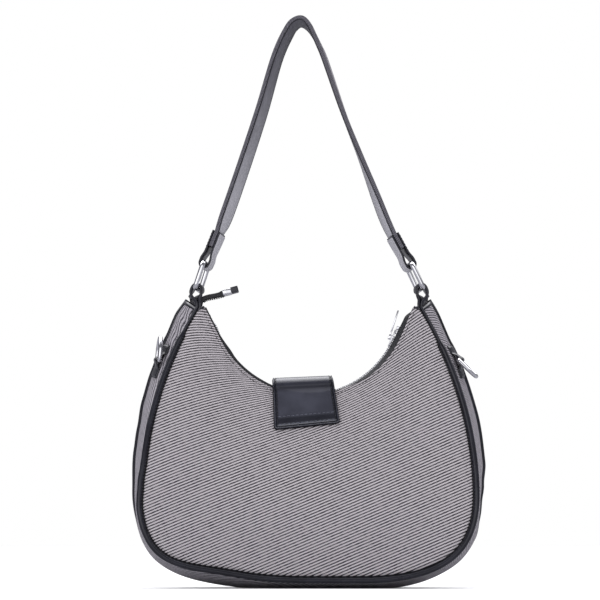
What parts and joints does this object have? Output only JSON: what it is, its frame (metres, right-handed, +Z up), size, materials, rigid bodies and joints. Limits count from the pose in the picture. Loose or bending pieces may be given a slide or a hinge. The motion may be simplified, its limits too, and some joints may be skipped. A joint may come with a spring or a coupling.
{
  "type": "baguette bag",
  "caption": "Small shoulder bag with a crescent zip mouth, woven body, piped seams, over-the-top snap tab, side D-rings and a short strap hung from two oblong rings.",
  "frame": {"origin": "middle of the base, on the surface the bag stands on", "axes": "+Z up, X across the bag from corner to corner, -Y toward the back panel and +Y toward the front panel, where the tab snaps shut"},
  "size_m": [0.2838, 0.0766, 0.4543],
  "materials": {
    "twill": "heavy two-tone ribbed cotton twill, pale warm grey ribs over charcoal",
    "leather": "smooth black leather, satin",
    "polished_metal": "polished nickel-plated zinc and steel",
    "zip_tape": "black woven polyester tape",
    "lining": "plain black woven lining",
    "board": "stiff fibre board, uncoated"
  },
  "bodies": {
    "root": {"back_panel": "twill", "front_panel": "twill", "gusset": "twill", "back_piping": "leather", "front_piping": "leather", "lining": "lining", "base_board": "board", "zip_tape_back": "zip_tape", "zip_tape_front": "zip_tape", "zip_teeth_back": "polished_metal", "zip_teeth_front": "polished_metal", "zip_bottom_stop": "polished_metal", "zip_top_stop_back": "polished_metal", "zip_top_stop_front": "polished_metal", "zip_tail": "zip_tape", "zip_tail_cap": "polished_metal", "d_ring_strip_left": "leather", "d_ring_strip_right": "leather", "tab_back": "leather", "snap_socket": "polished_metal", "snap_washer": "polished_metal"},
    "handle": {"corner_loop_left": "leather", "corner_loop_right": "leather"},
    "ring_left": {"ring_left": "polished_metal"},
    "strap": {"strap": "twill", "strap_end_left": "leather", "strap_end_right": "leather"},
    "ring_right": {"ring_right": "polished_metal"},
    "zip_slider": {"zip_slider": "polished_metal"},
    "zip_puller": {"zip_puller": "polished_metal"},
    "closure_tab": {"tab_front": "leather", "snap_stud": "polished_metal"},
    "d_ring_left": {"d_ring_left": "polished_metal"},
    "d_ring_right": {"d_ring_right": "polished_metal"}
  },
  "joints": [
    {"name": "handle_lean", "type": "hinge", "parent": "root", "child": "handle", "pos_m": [0, 0, 0.2275], "axis": [1, 0, 0], "range_deg": [-40, 40], "deforming": ["corner_loop_left", "corner_loop_right"]},
    {"name": "ring_left_swing", "type": "hinge", "parent": "handle", "child": "ring_left", "pos_m": [-0.0886, 0, 0.23651], "axis": [0.0872, 0.9962, 0], "range_deg": [-10, 10]},
    {"name": "strap_swing", "type": "hinge", "parent": "ring_left", "child": "strap", "pos_m": [-0.08246, 0, 0.25659], "axis": [0.0872, 0.9962, 0], "range_deg": [-11, 11]},
    {"name": "ring_right_swing", "type": "hinge", "parent": "handle", "child": "ring_right", "pos_m": [0.0886, 0, 0.23651], "axis": [-0.0872, 0.9962, 0], "range_deg": [-10.5, 10.5]},
    {"name": "slider_travel", "type": "hinge", "parent": "root", "child": "zip_slider", "pos_m": [-0.0016, 0, 0.2275], "axis": [0, 1, 0], "range_deg": [0, 132], "deforming": ["zip_teeth_back", "zip_teeth_front", "zip_tape_back", "zip_tape_front"]},
    {"name": "puller_swing", "type": "hinge", "parent": "zip_slider", "child": "zip_puller", "pos_m": [0.06399, 0, 0.1983], "axis": [0, -1, 0], "range_deg": [-4, 150]},
    {"name": "tab_open", "type": "hinge", "parent": "root", "child": "closure_tab", "pos_m": [-0.00489, 0, 0.16776], "axis": [0.9981, 0, 0.0611], "range_deg": [0, 150]},
    {"name": "d_ring_left_swing", "type": "hinge", "parent": "root", "child": "d_ring_left", "pos_m": [-0.11969, -0.00033, 0.17973], "axis": [0.1512, -0.9868, -0.0581], "range_deg": [0, 160]},
    {"name": "d_ring_right_swing", "type": "hinge", "parent": "root", "child": "d_ring_right", "pos_m": [0.11969, -0.00033, 0.17973], "axis": [0.1512, 0.9868, 0.0581], "range_deg": [-146, 14]}
  ],
  "couplings": [
    {"joint": "strap_swing", "follows": "ring_left_swing", "ratio": -1.0745},
    {"joint": "ring_right_swing", "follows": "ring_left_swing", "ratio": 1.01}
  ]
}
